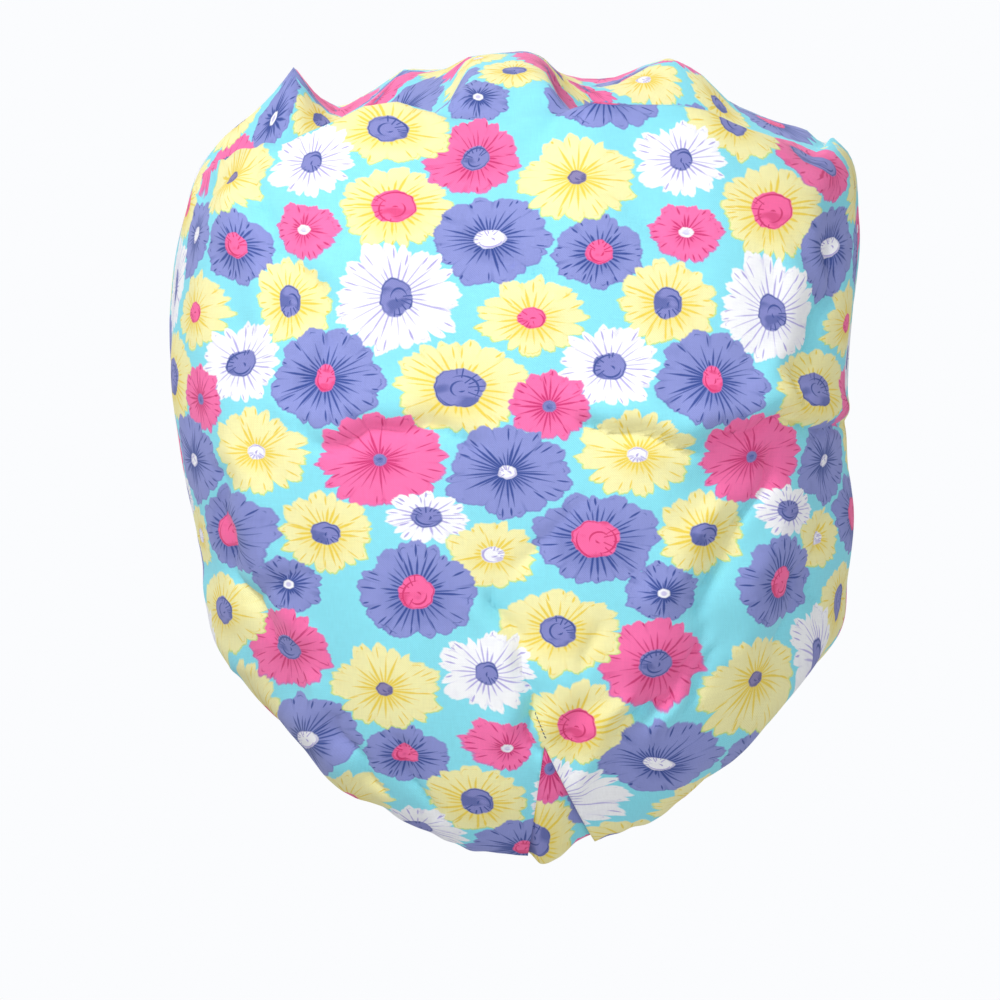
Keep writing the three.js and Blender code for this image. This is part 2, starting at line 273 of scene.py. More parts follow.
def folded_bag(around, up):
    point = smooth_bag(around, up)
    out = facing(smooth_bag, around, up)
    behind = ease(point[..., 1], 5, 45)
    on_crown = ease(point[..., 2], 178, 196)
    rise = fold_rise(point) * behind * (1 - 0.7 * on_crown)
    turn = 2 * np.pi * around
    for count, climb, start, height in WAVES:
        rise += height * np.sin(count * turn + climb * np.pi * up * 2 + start) * (1 - on_crown)
    from_edge = np.abs(up * (len(RINGS) - 1) - 1) * 26
    for middle, width, drop in NAPE_POINTS:
        tip = np.exp(-((point[..., 0] - middle) / width) ** 2) * behind
        point[..., 2] -= drop * tip * np.exp(-from_edge / EDGE_GATHER_REACH)
    gathers = np.zeros_like(rise)
    for count, start, height in EDGE_GATHERS:
        gathers += height * np.sin(count * turn + start + 1.5 * np.sin(3 * turn + start))
    rise += gathers * np.exp(-from_edge / EDGE_GATHER_REACH) * (1 - 0.75 * behind)
    return drape_crown(point + out * rise[..., None])


# The bag is cut as a grid: columns run round it, closer together behind, rows run up it, and the
# middle of the crown is closed by a square patch of the same cells, so that no cell comes to a point.
COLUMNS = 256
ROWS = 150
CLOSER_BEHIND = 0.55
PATCH_START = 0.7
PATCH_CELLS = COLUMNS // 4


def bag_grid():
    """Places of the vertices as around, up, and the four-cornered cells between them."""
    around, up, cells = [], [], []
    for row in range(ROWS):
        around.extend(column / COLUMNS for column in range(COLUMNS))
        up.extend([PATCH_START * row / ROWS] * COLUMNS)
    for row in range(ROWS - 1):
        for column in range(COLUMNS):
            a, b = row * COLUMNS + column, row * COLUMNS + (column + 1) % COLUMNS
            cells.append((b, a, a + COLUMNS, b + COLUMNS))
    rim = (ROWS - 1) * COLUMNS
    half = PATCH_CELLS // 2
    patch = {}
    for i in range(-half, half + 1):
        for j in range(-half, half + 1):
            level = max(abs(i), abs(j))
            if level == 0:
                turn = 0.0
            elif j == level and abs(i) <= level and not (i == -level):
                turn = i / level / 8
            elif i == level:
                turn = 0.25 - j / level / 8
            elif j == -level:
                turn = 0.5 - i / level / 8
            else:
                turn = 0.75 + j / level / 8
            patch[i, j] = len(around)
            around.append(turn % 1.0)
            up.append(PATCH_START + (1 - PATCH_START) * (1 - level / half))
    for i in range(-half, half):
        for j in range(-half, half):
            cells.append((patch[i, j], patch[i + 1, j], patch[i + 1, j + 1], patch[i, j + 1]))
    border = {round(around[number] * COLUMNS) % COLUMNS: number
              for (i, j), number in patch.items() if max(abs(i), abs(j)) == half}
    for column in range(COLUMNS):
        following = (column + 1) % COLUMNS
        cells.append((rim + following, rim + column, border[column], border[following]))
    around = np.array(around)
    around -= CLOSER_BEHIND * np.sin(2 * np.pi * around) / (2 * np.pi)
    return around, np.array(up), cells


# How the cloth lies on the back and sides, in mm of cloth: across to the right as seen from behind,
# and up from the nape.
PRINT_REPEAT = 129.0
PRINT_DROP = 175.5
REPEATS_TO_FRONT = 3
MIDDLE_RING = 7
CLOTH_ABOVE_EDGE = 4.5
CROWN_EASE = 0.4
HEM_SLANT, HEM_SLANT_RINGS = 0.55, 3.2


def run_along(points):
    """How far along a line of points each of them lies."""
    steps = np.linalg.norm(np.diff(points, axis=0), axis=-1)
    return np.concatenate([np.zeros_like(steps[:1]), np.cumsum(steps, axis=0)])


fine = np.linspace(0, 0.5, 201)
middle_up = np.full_like(fine, MIDDLE_RING / (len(RINGS) - 1))
side_length = {}
for side_name, sign in (("left", 1), ("right", -1)):
    line = smooth_bag(sign * fine, middle_up)
    side_length[side_name] = run_along(line)
rear_up = np.linspace(0, 1, 401)
rear_line = smooth_bag(np.zeros_like(rear_up), rear_up)
rear_length = run_along(rear_line)
rear_length += CLOTH_ABOVE_EDGE - np.interp(1 / (len(RINGS) - 1), rear_up, rear_length)
# The bag is left open in a V at the middle of the nape, from just under a short dart down to the
# edge: x and z of its corners, and how far the cloth on its right has been moved over to it.
V_APEX = (-10.5, -20)
V_LEFT_FOOT = (-6, -57)
V_RIGHT_FOOT = (-23.5, -48)
V_SHIFT, V_SHIFT_REACH = 16, 42
V_LEFT_DOWN = 29 / 38
# The part of the bag that counts as the nape, where the V is cut.
NAPE_FROM_Y, NAPE_HALF_WIDTH, NAPE_BELOW_Z = 40, 70, -8
# Where the gathers pull the print aside: at x, z, over a reach each way, how far across and up.
PULL_COLUMNS = ("x", "z", "reach_x", "reach_z", "across", "up")
PULLS = (
    (-96, 130, 22, 26, 3, 8),
    (28, 178, 24, 14, -8, 6),
    (86, 128, 12, 22, -9, 0),
    (98, 48, 14, 16, 10, 2),
    (-66, -18, 22, 16, 6, 6),
    (98, 168, 18, 12, 9, 0),
    (-112, 170, 16, 14, -18, 5),
    (-51, -26, 14, 16, 4, 6),
    (-26, -26, 13, 22, 6, 4),
    (5, -20, 12, 11, -6, 2),
    (8, -48, 14, 12, -3, 2),
)


def ring_length(around, up, side_name):
    """How far round the back half of its own ring a place is, in mm, on one side."""
    ring = ring_sizes(up)
    size = ring[side_name] + ring["rear"] - ring["mid"]
    middle = RINGS[MIDDLE_RING]
    middle_size = middle[RING_COLUMNS.index(side_name)] + middle[2] - middle[4]
    length = np.interp(np.minimum(around, 0.25), fine, side_length[side_name])
    narrower = np.minimum(size / middle_size, 1)
    above = up > MIDDLE_RING / (len(RINGS) - 1)
    return length * np.where(above, narrower ** CROWN_EASE, narrower)


def cloth_place(around, up):
    """The place in the cloth, in mm, of a point of the bag. around runs from -0.5 to 0.5."""
    turn = np.abs(around)
    across = {}
    for side_name in ("left", "right"):
        behind = ring_length(turn, up, side_name)
        quarter, half = np.interp((0.25, 0.5), fine, side_length[side_name])
        in_front = (np.interp(turn, fine, side_length[side_name]) - quarter) / (half - quarter)
        to_front = REPEATS_TO_FRONT * PRINT_REPEAT - behind
        across[side_name] = behind + to_front * np.maximum(in_front, 0)
    ring, smooth = ring_sizes(up), smooth_bag(around, up)
    across = np.where(around > 0, -across["left"], across["right"])
    near_hem = 1 - ease(up * (len(RINGS) - 1), 1, HEM_SLANT_RINGS)
    slant = 1 + HEM_SLANT * near_hem * (1 - ease(turn, 0.17, 0.25))
    upward = np.interp(up, rear_up, rear_length)
    upward = upward + (smooth[..., 2] - ring["z_rear"]) * slant + rim_lift(smooth)
    below = np.clip((V_APEX[1] - smooth[..., 2]) / (V_APEX[1] - V_RIGHT_FOOT[1]), 0, 1)
    beside = np.exp(-np.maximum(V_APEX[0] - smooth[..., 0], 0) / V_SHIFT_REACH)
    beside = beside * (smooth[..., 0] < V_APEX[0])
    across = across + V_SHIFT * below ** 0.5 * beside * (smooth[..., 1] > 0)
    for row in PULLS:
        pull = dict(zip(PULL_COLUMNS, row))
        far = ((smooth[..., 0] - pull["x"]) / pull["reach_x"]) ** 2
        far += ((smooth[..., 2] - pull["z"]) / pull["reach_z"]) ** 2
        share = np.exp(-far) * (smooth[..., 1] > 0)
        across, upward = across + pull["across"] * share, upward + pull["up"] * share
    return np.stack([across, upward], axis=-1)


# The front and the middle of the crown are a second panel of the cloth, joined to the first down the
# sides and over the crown. Its print spreads out evenly from the middle of the front.
PANEL_TURN, PANEL_CROWN_Y, PANEL_CROWN_UP = 0.27, 30, 0.8
PANEL_PIVOT, PANEL_REACH = (0, 15, 85), 118


def front_place(point):
    toward = point - np.array(PANEL_PIVOT)
    toward /= np.linalg.norm(toward, axis=-1, keepdims=True)
    turned = np.arccos(np.clip(-toward[..., 1], -1, 1))
    beside = np.maximum(np.hypot(toward[..., 0], toward[..., 2]), 1e-6)
    return toward[..., [0, 2]] * (PANEL_REACH * turned / beside)[..., None]


# Each edge of the V: how far it stands out at its foot, and how far beside the V that goes.
V_LEFT_EDGE, V_RIGHT_EDGE = (-1.0, 7), (1.9, 9)


def nape_edge_rise(point):
    """How far the edges of the V stand out of the bag: the right one laps over the gusset."""
    down = (V_APEX[1] - point[..., 2]) / (V_APEX[1] - V_RIGHT_FOOT[1])
    left = V_APEX[0] + (V_LEFT_FOOT[0] - V_APEX[0]) * down * V_LEFT_DOWN
    right = V_APEX[0] + (V_RIGHT_FOOT[0] - V_APEX[0]) * down
    share = np.clip((point[..., 0] - right) / np.maximum(left - right, 0.1), 0, 1)
    on_right = V_RIGHT_EDGE[0] * np.exp(-(np.maximum(right - point[..., 0], 0) / V_RIGHT_EDGE[1]) ** 2)
    on_left = V_LEFT_EDGE[0] * np.exp(-(np.maximum(point[..., 0] - left, 0) / V_LEFT_EDGE[1]) ** 2)
    rise = on_right * (1 - ease(share, 0.3, 0.6)) + on_left * ease(share, 0.4, 0.7)
    rise = rise * np.clip(down, 0, 1) ** 0.7 * (1 - 0.5 * ease(down, 0.8, 1.3))
    return rise * (point[..., 1] > NAPE_FROM_Y)


bag_around, bag_up, bag_cells = bag_grid()
bag_points = folded_bag(bag_around, bag_up)
bag_points += facing(smooth_bag, bag_around, bag_up) * nape_edge_rise(bag_points)[..., None]

bag_mesh = bpy.data.meshes.new("crown bag")
bag_mesh.from_pydata((bag_points * MM).tolist(), [], bag_cells)
bag_mesh.update()
corner_vertex = np.array([loop.vertex_index for loop in bag_mesh.loops])
corner_around = bag_around[corner_vertex]
corner_up = bag_up[corner_vertex]
cell_of_corner = np.repeat(np.arange(len(bag_cells)), 4)
cell_around = corner_around.reshape(-1, 4)
angles = np.exp(2j * np.pi * cell_around) * (corner_up.reshape(-1, 4) < 0.9999)
cell_middle = np.angle(angles.sum(axis=1)) / (2 * np.pi)
signed = cell_middle[cell_of_corner] + (corner_around - cell_middle[cell_of_corner] + 0.5) % 1.0 - 0.5
cloth = cloth_place(signed, corner_up)
corner_point = smooth_bag(signed, corner_up)
cell_y = corner_point[:, 1].reshape(-1, 4).mean(axis=1)
cell_up = corner_up.reshape(-1, 4).mean(axis=1)
in_front = (cell_y < PANEL_CROWN_Y) & ((np.abs(cell_middle) > PANEL_TURN) | (cell_up > PANEL_CROWN_UP))
cloth = np.where(in_front[cell_of_corner][:, None], front_place(corner_point), cloth)
cloth_map = bag_mesh.uv_layers.new(name="cloth")
cloth_map.data.foreach_set("uv", cloth.astype(np.float32).ravel())

crown_bag = bpy.data.objects.new("printed_bag", bag_mesh)
bpy.context.scene.collection.objects.link(crown_bag)
for polygon in bag_mesh.polygons:
    polygon.use_smooth = True

# The print on the cotton: twenty-four flowers in a half-drop repeat on turquoise. Each row is a
# flower: where its middle lies in the repeat, its width and height, the width and height of its
# heart, how many petals it has, how deep they are cut, its kind and the colour of its heart.
FLOWERS = (
    (-41, 245, 37, 30, 15, 12, 17, 0.14, "yellow", "pink heart"),
    (-8, 234, 39, 30, 11, 6, 11, 0.10, "violet", "white heart"),
    (28, 229, 29, 24, 9, 8, 9, 0.09, "violet", "pink heart"),
    (57, 236, 24, 20, 5, 3.5, 9, 0.15, "pink", "white heart"),
    (-39, 214, 42, 36, 11, 13, 15, 0.20, "white", "violet heart"),
    (51, 212, 34, 29, 10, 11, 14, 0.14, "yellow", "violet heart"),
    (6, 207, 34, 25, 9, 7, 13, 0.19, "yellow", "pink heart"),
    (32, 191, 32, 26, 11, 9, 15, 0.18, "white", "violet heart"),
    (67, 187, 39, 32, 7, 9, 12, 0.11, "violet", "pink heart"),
    (-18, 184, 43, 31, 17, 13, 16, 0.11, "yellow", "violet heart"),
    (12, 178, 26, 23, 4.5, 4, 10, 0.13, "pink", "violet heart"),
    (42, 162, 39, 28, 7, 5, 13, 0.19, "yellow", "white heart"),
    (-44, 160, 43, 30, 4.5, 4, 13, 0.15, "pink", "violet heart"),
    (-2, 156, 40, 30, 6, 4.5, 12, 0.10, "violet", "white heart"),
    (-29, 141, 29, 17, 11, 7, 13, 0.20, "white", "violet heart"),
    (-7, 128, 30, 22, 8, 5.5, 12, 0.17, "yellow", "white heart"),
    (28, 134, 41, 31, 16, 13, 11, 0.08, "violet", "pink heart"),
    (65, 135, 32, 28, 11, 8, 14, 0.14, "yellow", "violet heart"),
    (50, 116, 24, 20, 4, 3, 9, 0.12, "violet", "white heart"),
    (-33, 115, 39, 33, 12, 12, 12, 0.10, "violet", "pink heart"),
    (47, 91, 34, 30, 11, 10, 11, 0.12, "pink", "violet heart"),
    (15, 102, 40, 29, 12, 11, 14, 0.14, "yellow", "violet heart"),
    (-44, 80, 38, 31, 6, 5, 15, 0.17, "yellow", "grey heart"),
    (-9, 87, 32, 29, 8, 9, 13, 0.23, "white", "violet heart"),
)


def linear(*srgb):
    """A colour given as it looks, 0 to 255, as the amounts of light that the shader mixes."""
    return tuple((c / 255 / 12.92) if c <= 10 else ((c / 255 + 0.055) / 1.055) ** 2.4 for c in srgb)


GROUND = linear(140, 228, 243)
# Petals, the strokes drawn on them, and the thin edge round them.
PETALS = {
    "yellow": (linear(248, 242, 178), linear(240, 210, 66), linear(204, 230, 130)),
    "violet": (linear(142, 150, 213), linear(44, 70, 146), linear(128, 132, 200)),
    "pink": (linear(253, 116, 176), linear(208, 50, 116), linear(206, 122, 190)),
    "white": (linear(251, 252, 254), linear(172, 162, 224), linear(247, 248, 252)),
}
# The pen: half the width of a long stroke in mm, long strokes for each mm of reach, and how much
# of the stroke's colour is washed over the petals near the heart.
PENS = {
    "yellow": (0.34, 1.1, 0.5),
    "violet": (0.32, 1.5, 0.4),
    "pink": (0.3, 1.2, 0.4),
    "white": (0.24, 1.0, 0.12),
}
# Hearts, and the curls drawn in them.
HEARTS = {
    "pink heart": (linear(253, 108, 166), linear(208, 44, 104)),
    "violet heart": (linear(134, 138, 200), linear(44, 70, 142)),
    "white heart": (linear(250, 250, 254), linear(166, 154, 220)),
    "grey heart": (linear(140, 132, 178), linear(84, 84, 138)),
}


def lay_print(mesh, map_name="cloth"):
    """Gives each face of a mesh the two flowers of the repeat that lie nearest to it."""
    corners = np.empty(len(mesh.loops) * 2, dtype=np.float32)
    mesh.uv_layers[map_name].data.foreach_get("uv", corners)
    corners = corners.reshape(-1, 2).astype(float)
    starts = np.array([polygon.loop_start for polygon in mesh.polygons])
    place = np.add.reduceat(corners, starts, axis=0)
    place /= np.array([polygon.loop_total for polygon in mesh.polygons])[:, None]
    middles, nearness = [], []
    for across, upward, width, height, *_ in FLOWERS:
        best = np.full(len(place), 1e9)
        middle = np.zeros((len(place), 2))
        for extra in (0, 1):
            drop = np.floor((place[:, 1] - upward) / PRINT_DROP) + extra
            from_first = place[:, 0] - across - drop * PRINT_REPEAT / 2
            repeat = np.round(from_first / PRINT_REPEAT)
            here = np.stack([across + repeat * PRINT_REPEAT + drop * PRINT_REPEAT / 2,
                             upward + drop * PRINT_DROP], axis=-1)
            far = np.linalg.norm((place - here) / (width / 2 + 2, height / 2 + 2), axis=-1)
            closer = far < best
            best = np.where(closer, far, best)
            middle[closer] = here[closer]
        middles.append(middle)
        nearness.append(best)
    order = np.sort(np.argsort(np.array(nearness), axis=0)[:2], axis=0)
    middles = np.array(middles)
    faces = np.arange(len(place))
    for layer, chosen in zip(("under", "over"), order):
        middle = middles[chosen, faces]
        values = {
            "middle": [(0, 0, number * 7.31) for number in range(len(FLOWERS))],
            "size": [(row[2] / 2, row[3] / 2, row[6]) for row in FLOWERS],
            "heart": [(row[4] / 2, row[5] / 2, row[7]) for row in FLOWERS],
            "petal": [PETALS[row[8]][0] for row in FLOWERS],
            "stroke": [PETALS[row[8]][1] for row in FLOWERS],
            "edge": [PETALS[row[8]][2] for row in FLOWERS],
            "heart_colour": [HEARTS[row[9]][0] for row in FLOWERS],
            "curl": [HEARTS[row[9]][1] for row in FLOWERS],
            "pen": [PENS[row[8]] for row in FLOWERS],
        }
        for name, table in values.items():
            data = np.array(table, dtype=np.float32)[chosen]
            if name == "middle":
                data[:, :2] = middle
            attribute = mesh.attributes.new(f"{layer}_{name}", "FLOAT_VECTOR", "FACE")
            attribute.data.foreach_set("vector", data.ravel())


def add(tree, kind, **settings):
    node = tree.nodes.new("ShaderNode" + kind)
    for name, value in settings.items():
        setattr(node, name, value)
    return node


def feed(tree, socket, value):
    if isinstance(value, bpy.types.NodeSocket):
        tree.links.new(value, socket)
    else:
        socket.default_value = value


def calc(tree, operation, *values, clamp=False):
    """One sum of the shader: a Math node fed with numbers or with other nodes' results."""
    node = add(tree, "Math", operation=operation, use_clamp=clamp)
    for number, value in enumerate(values):
        feed(tree, node.inputs[number], value)
    return node.outputs[0]


def blend(tree, share, first, second):
    node = add(tree, "Mix", data_type="RGBA")
    feed(tree, node.inputs[0], share)
    feed(tree, node.inputs[6], first)
    feed(tree, node.inputs[7], second)
    return node.outputs[2]


def combine(tree, x, y, z):
    node = add(tree, "CombineXYZ")
    for socket, value in zip(node.inputs, (x, y, z)):
        feed(tree, socket, value)
    return node.outputs[0]


def spread(tree, vector):
    node = add(tree, "SeparateXYZ")
    feed(tree, node.inputs[0], vector)
    return node.outputs


def noise(tree, vector, scale, detail=2.0):
    node = add(tree, "TexNoise")
    feed(tree, node.inputs["Vector"], vector)
    node.inputs["Scale"].default_value = scale
    node.inputs["Detail"].default_value = detail
    return node.outputs["Fac"]


# Short lines fan out round the inside of each heart.
HEART_COMB = 17.0


def draw_flower():
    """One printed flower as a node group: its colour at a place in the cloth and where it covers."""
    tree = bpy.data.node_groups.new("printed flower", "ShaderNodeTree")
    for name in ("place", "middle", "size", "heart", "petal", "stroke", "edge", "heart_colour",
                 "curl", "pen"):
        tree.interface.new_socket(name=name, in_out="INPUT", socket_type="NodeSocketVector")
    tree.interface.new_socket(name="colour", in_out="OUTPUT", socket_type="NodeSocketColor")
    tree.interface.new_socket(name="cover", in_out="OUTPUT", socket_type="NodeSocketFloat")
    given = tree.nodes.new("NodeGroupInput").outputs
    result = tree.nodes.new("NodeGroupOutput").inputs

    def sums(operation, *values, **options):
        return calc(tree, operation, *values, **options)

    def named(operation):
        return lambda *values, **options: sums(operation, *values, **options)

    times, plus, less, share_of = map(named, ("MULTIPLY", "ADD", "SUBTRACT", "DIVIDE"))
    scaled, most, above = map(named, ("MULTIPLY_ADD", "MAXIMUM", "GREATER_THAN"))

    def soft_step(distance, softness):
        return scaled(distance, 1 / softness, 0.5, clamp=True)

    x, y, _ = spread(tree, given["place"])
    middle_x, middle_y, seed = spread(tree, given["middle"])
    reach_x, reach_y, petals = spread(tree, given["size"])
    heart_x, heart_y, depth = spread(tree, given["heart"])
    pen_width, pen_lines, pen_wash = spread(tree, given["pen"])
    from_x, from_y = less(x, middle_x), less(y, middle_y)
    unit_x, unit_y = share_of(from_x, reach_x), share_of(from_y, reach_y)
    out = sums("SQRT", plus(times(unit_x, unit_x), times(unit_y, unit_y)))
    out = most(out, 0.001)
    angle = sums("ARCTAN2", unit_y, unit_x)
    reach = times(plus(reach_x, reach_y), 0.5)

    # The outline: petals of uneven width with small nicks, on a flower that isn't quite round.
    toward_x, toward_y = share_of(unit_x, out), share_of(unit_y, out)
    uneven = noise(tree, combine(tree, toward_x, toward_y, seed), 1.4, 1.0)
    ragged = noise(tree, combine(tree, toward_x, toward_y, seed), 5.0, 3.0)
    half_turns = times(angle, times(petals, 0.5))
    phase = plus(half_turns, scaled(uneven, 7.0, seed))
    wave = sums("ABSOLUTE", sums("SINE", phase))
    petal_round = sums("POWER", wave, 0.6)
    rim = less(1.03, times(depth, less(1.0, petal_round)))
    rim = plus(rim, scaled(uneven, 0.46, -0.23))
    rim = plus(rim, times(less(ragged, 0.5),
                          scaled(depth, 1.6, 0.16)))
    to_rim = times(less(rim, out), reach)
    cover = soft_step(to_rim, 0.6)

    def white_noise(number, salt):
        chance = add(tree, "TexWhiteNoise", noise_dimensions="2D")
        feed(tree, chance.inputs["Vector"], combine(tree, number, plus(seed, salt), 0.0))
        return spread(tree, chance.outputs["Color"])

    def fan(count, salt, swing):
        """Lines that fan out round the flower.

        Gives how far a place is beside the nearest one, in mm, and that line's chances."""
        steps = times(angle, share_of(count, 2 * math.pi))
        cell = sums("FLOOR", steps)
        first, second, third = white_noise(sums("FLOORED_MODULO", cell, count), salt)
        leaning = times(less(second, 0.5), times(out, swing))
        aside = less(less(steps, cell), 0.5)
        aside = less(aside, plus(scaled(third, 0.44, -0.22), leaning))
        spacing = share_of(times(times(out, reach), 2 * math.pi), count)
        return times(sums("ABSOLUTE", aside), spacing), first, second, third

    def tapered(share, half_width, taper):
        """Half the width of a pen line at a share of its length: even, then running out to a point."""
        return times(times(less(1.0, share), taper, clamp=True), half_width)

    # The strokes: pen lines out from the heart and in from the rim, each of its own length, and here
    # and there a loop that follows the petal's edge.
    heart_share = share_of(plus(heart_x, heart_y), plus(reach_x, reach_y))
    room = less(1.0, heart_share)
    long_count = sums("ROUND", scaled(reach, pen_lines, 8.0))
    beside, first, _, third = fan(long_count, 0.0, 0.5)
    outward = share_of(less(out, heart_share),
                       times(room, scaled(first, 0.66, 0.2)))
    pen = times(pen_width, scaled(third, 0.9, 0.5))
    stroke = soft_step(less(tapered(outward, pen, 2.2), beside), 0.34)
    stroke = times(stroke, sums("LESS_THAN", outward, 1.0))
    short_count = sums("ROUND", scaled(reach, 1.3, 12.0))
    beside, first, second, third = fan(short_count, 3.7, 0.7)
    inward = share_of(less(rim, out), scaled(first, 0.3, 0.1))
    dash = times(times(less(1.0, inward), less(inward, 0.16)), 5.5)
    dash = times(most(sums("MINIMUM", dash, 1.0), 0.0), above(second, 0.52))
    short_stroke = soft_step(less(times(dash, scaled(third, 0.2, 0.2)),
                                  beside), 0.26)
    stroke = most(stroke, times(short_stroke, above(dash, 0.05)))
    near_rim = sums("ABSOLUTE", less(to_rim, scaled(uneven, 2.4, 0.7)))
    looped = times(soft_step(less(0.2, near_rim), 0.3),
                   scaled(ragged, 9.0, -5.0, clamp=True))
    stroke = most(stroke, times(looped, 0.75))
    between = times(soft_step(scaled(wave, -1.0, 0.2), 0.16),
                    scaled(out, 2.4, -1.5, clamp=True))

    # The heart: an uneven spot with an outline, nested curls and a few short lines drawn in it.
    heart_u, heart_v = share_of(from_x, heart_x), share_of(from_y, heart_y)
    from_heart = sums("SQRT", plus(times(heart_u, heart_u), times(heart_v, heart_v)))
    heart_reach = times(plus(heart_x, heart_y), 0.5)
    heart_rim = plus(scaled(uneven, 0.4, 0.8), scaled(ragged, 0.1, -0.05))
    in_heart = times(less(heart_rim, from_heart), heart_reach)
    heart_cover = soft_step(in_heart, 0.5)
    curl_u = less(heart_u, 0.12)
    curl_v = plus(heart_v, 0.1)
    curl_out = sums("SQRT", plus(times(curl_u, curl_u), times(curl_v, curl_v)))
    curl_angle = plus(sums("ARCTAN2", curl_v, curl_u), seed)
    wound = scaled(sums("SINE", curl_angle), 0.22,
                   share_of(times(curl_out, heart_reach), 2.0))
    ring = sums("FLOOR", wound)
    off_curl = times(sums("ABSOLUTE", less(less(wound, ring), 0.5)), 2.0)
    ring_turn = scaled(ring, 2.1, curl_angle)
    drawn = scaled(sums("SINE", ring_turn), 1.2, -0.15, clamp=True)
    curl = soft_step(less(times(drawn, 0.34), off_curl), 0.26)
    curl = times(curl, above(drawn, 0.05))
    beside, first, *_ = fan(HEART_COMB, 9.1, 0.9)
    comb = soft_step(less(0.2, beside), 0.2)
    comb = times(comb, above(from_heart, scaled(first, 0.5, 0.3)))
    comb = times(comb, scaled(sums("SINE", plus(curl_angle, 4.4)), 4.0, -0.6, clamp=True))
    curl = most(curl, comb)
    outline = soft_step(less(0.2, sums("ABSOLUTE", less(in_heart, 0.35))), 0.4)
    outline = times(outline, scaled(sums("SINE", plus(curl_angle, 1.4)), 0.8, 0.35,
                                    clamp=True))
    curl = most(curl, outline)
    blotch = noise(tree, combine(tree, times(heart_u, 0.7), times(heart_v, 1.4), seed), 1.0, 1.0)
    blotch = plus(times(blotch, 9.0), scaled(heart_v, -0.8, -5.0))
    curl = most(curl, times(most(sums("MINIMUM", blotch, 1.0), 0.0), 0.62))
    big = scaled(heart_reach, 1.2, -2.2, clamp=True)
    dot = soft_step(less(0.5, from_heart), 0.35)
    curl = plus(times(curl, big),
                times(times(dot, 0.7), less(1.0, big)))

    # Washes of colour: deeper beside the heart, the thin edge line, and uneven dye on the petals.
    wash = noise(tree, combine(tree, x, y, seed), 0.16, 2.0)
    by_heart = scaled(less(out, heart_share), -2.4, 1.0, clamp=True)
    lower = scaled(toward_y, -0.35, 0.6)
    tinted = plus(times(by_heart, times(lower, pen_wash)),
                  scaled(wash, 0.5, -0.27, clamp=True))
    colour = blend(tree, tinted, given["petal"], given["stroke"])
    at_edge = less(1.0, soft_step(less(to_rim, 0.55), 0.6))
    edged = scaled(less(ragged, toward_y), 1.1, 0.25, clamp=True)
    colour = blend(tree, times(at_edge, edged), colour, given["edge"])
    colour = blend(tree, times(between, 0.4), colour, given["stroke"])
    colour = blend(tree, times(stroke, 0.9), colour, given["stroke"])
    colour = blend(tree, heart_cover, colour, given["heart_colour"])
    colour = blend(tree, times(times(curl, heart_cover), 0.85), colour, given["curl"])
    feed(tree, result["colour"], colour)
    feed(tree, result["cover"], cover)
    return tree


FLOWER_GROUP = draw_flower()


THREAD_PITCH = 0.38
WEAVE_SHADE = 0.02
GRAIN = 2.3
WEAVE_DEPTH = 0.00005
SLUB_SHADE = 0.11
WRONG_SIDE = linear(226, 240, 244)
WRONG_SIDE_FADE = 0.6
CLOTH_THICKNESS, BAND_CLOTH_THICKNESS = 0.6, 0.5


def printed_cotton(name, fade=0.0):
    """Plain-weave cotton printed with the flowers. fade is how pale the print is on its wrong side."""
    material = bpy.data.materials.new(name)
    material.use_nodes = True
    tree = material.node_tree
    shader = tree.nodes["Principled BSDF"]
    place = add(tree, "UVMap", uv_map="cloth").outputs["UV"]
    colour = tuple(GROUND) + (1,)
    for layer in ("under", "over"):
        flower = add(tree, "Group", node_tree=FLOWER_GROUP)
        feed(tree, flower.inputs["place"], place)
        for socket in flower.inputs[1:]:
            source = add(tree, "Attribute", attribute_name=f"{layer}_{socket.name}")
            feed(tree, socket, source.outputs["Vector"])
        colour = blend(tree, flower.outputs["cover"], colour, flower.outputs["colour"])
    if fade:
        colour = blend(tree, fade, colour, tuple(WRONG_SIDE) + (1,))
    across, upward, _ = spread(tree, place)
    thread_turn = math.pi / THREAD_PITCH
    warp = calc(tree, "SINE", calc(tree, "MULTIPLY", across, thread_turn))
    weft = calc(tree, "SINE", calc(tree, "MULTIPLY", upward, thread_turn))
    weave = calc(tree, "MULTIPLY", warp, weft)
    slub = calc(tree, "ADD",
                noise(tree, combine(tree, calc(tree, "MULTIPLY", across, GRAIN),
                                    calc(tree, "MULTIPLY", upward, GRAIN / 12), 0.0), 1.0, 1.0),
                noise(tree, combine(tree, calc(tree, "MULTIPLY", across, GRAIN / 12),
                                    calc(tree, "MULTIPLY", upward, GRAIN), 4.0), 1.0, 1.0))
    shade = calc(tree, "MULTIPLY_ADD", weave, WEAVE_SHADE, 1 - WEAVE_SHADE)
    shade = calc(tree, "MULTIPLY", shade, calc(tree, "MULTIPLY_ADD", slub, SLUB_SHADE, 1 - SLUB_SHADE))
    toned = add(tree, "VectorMath", operation="SCALE")
    feed(tree, toned.inputs[0], colour)
    feed(tree, toned.inputs["Scale"], shade)
    feed(tree, shader.inputs["Base Color"], toned.outputs[0])
    bump = add(tree, "Bump")
    bump.inputs["Strength"].default_value = 0.6
    bump.inputs["Distance"].default_value = WEAVE_DEPTH
    feed(tree, bump.inputs["Height"], calc(tree, "ADD", weave, calc(tree, "MULTIPLY", slub, 1.2)))
    feed(tree, shader.inputs["Normal"], bump.outputs["Normal"])
    feed(tree, shader.inputs["Roughness"], calc(tree, "MULTIPLY_ADD", slub, 0.08, 0.76))
    shader.inputs["Specular IOR Level"].default_value = 0.25
    shader.inputs["Sheen Weight"].default_value = 0.1
    shader.inputs["Sheen Roughness"].default_value = 0.5
    return material


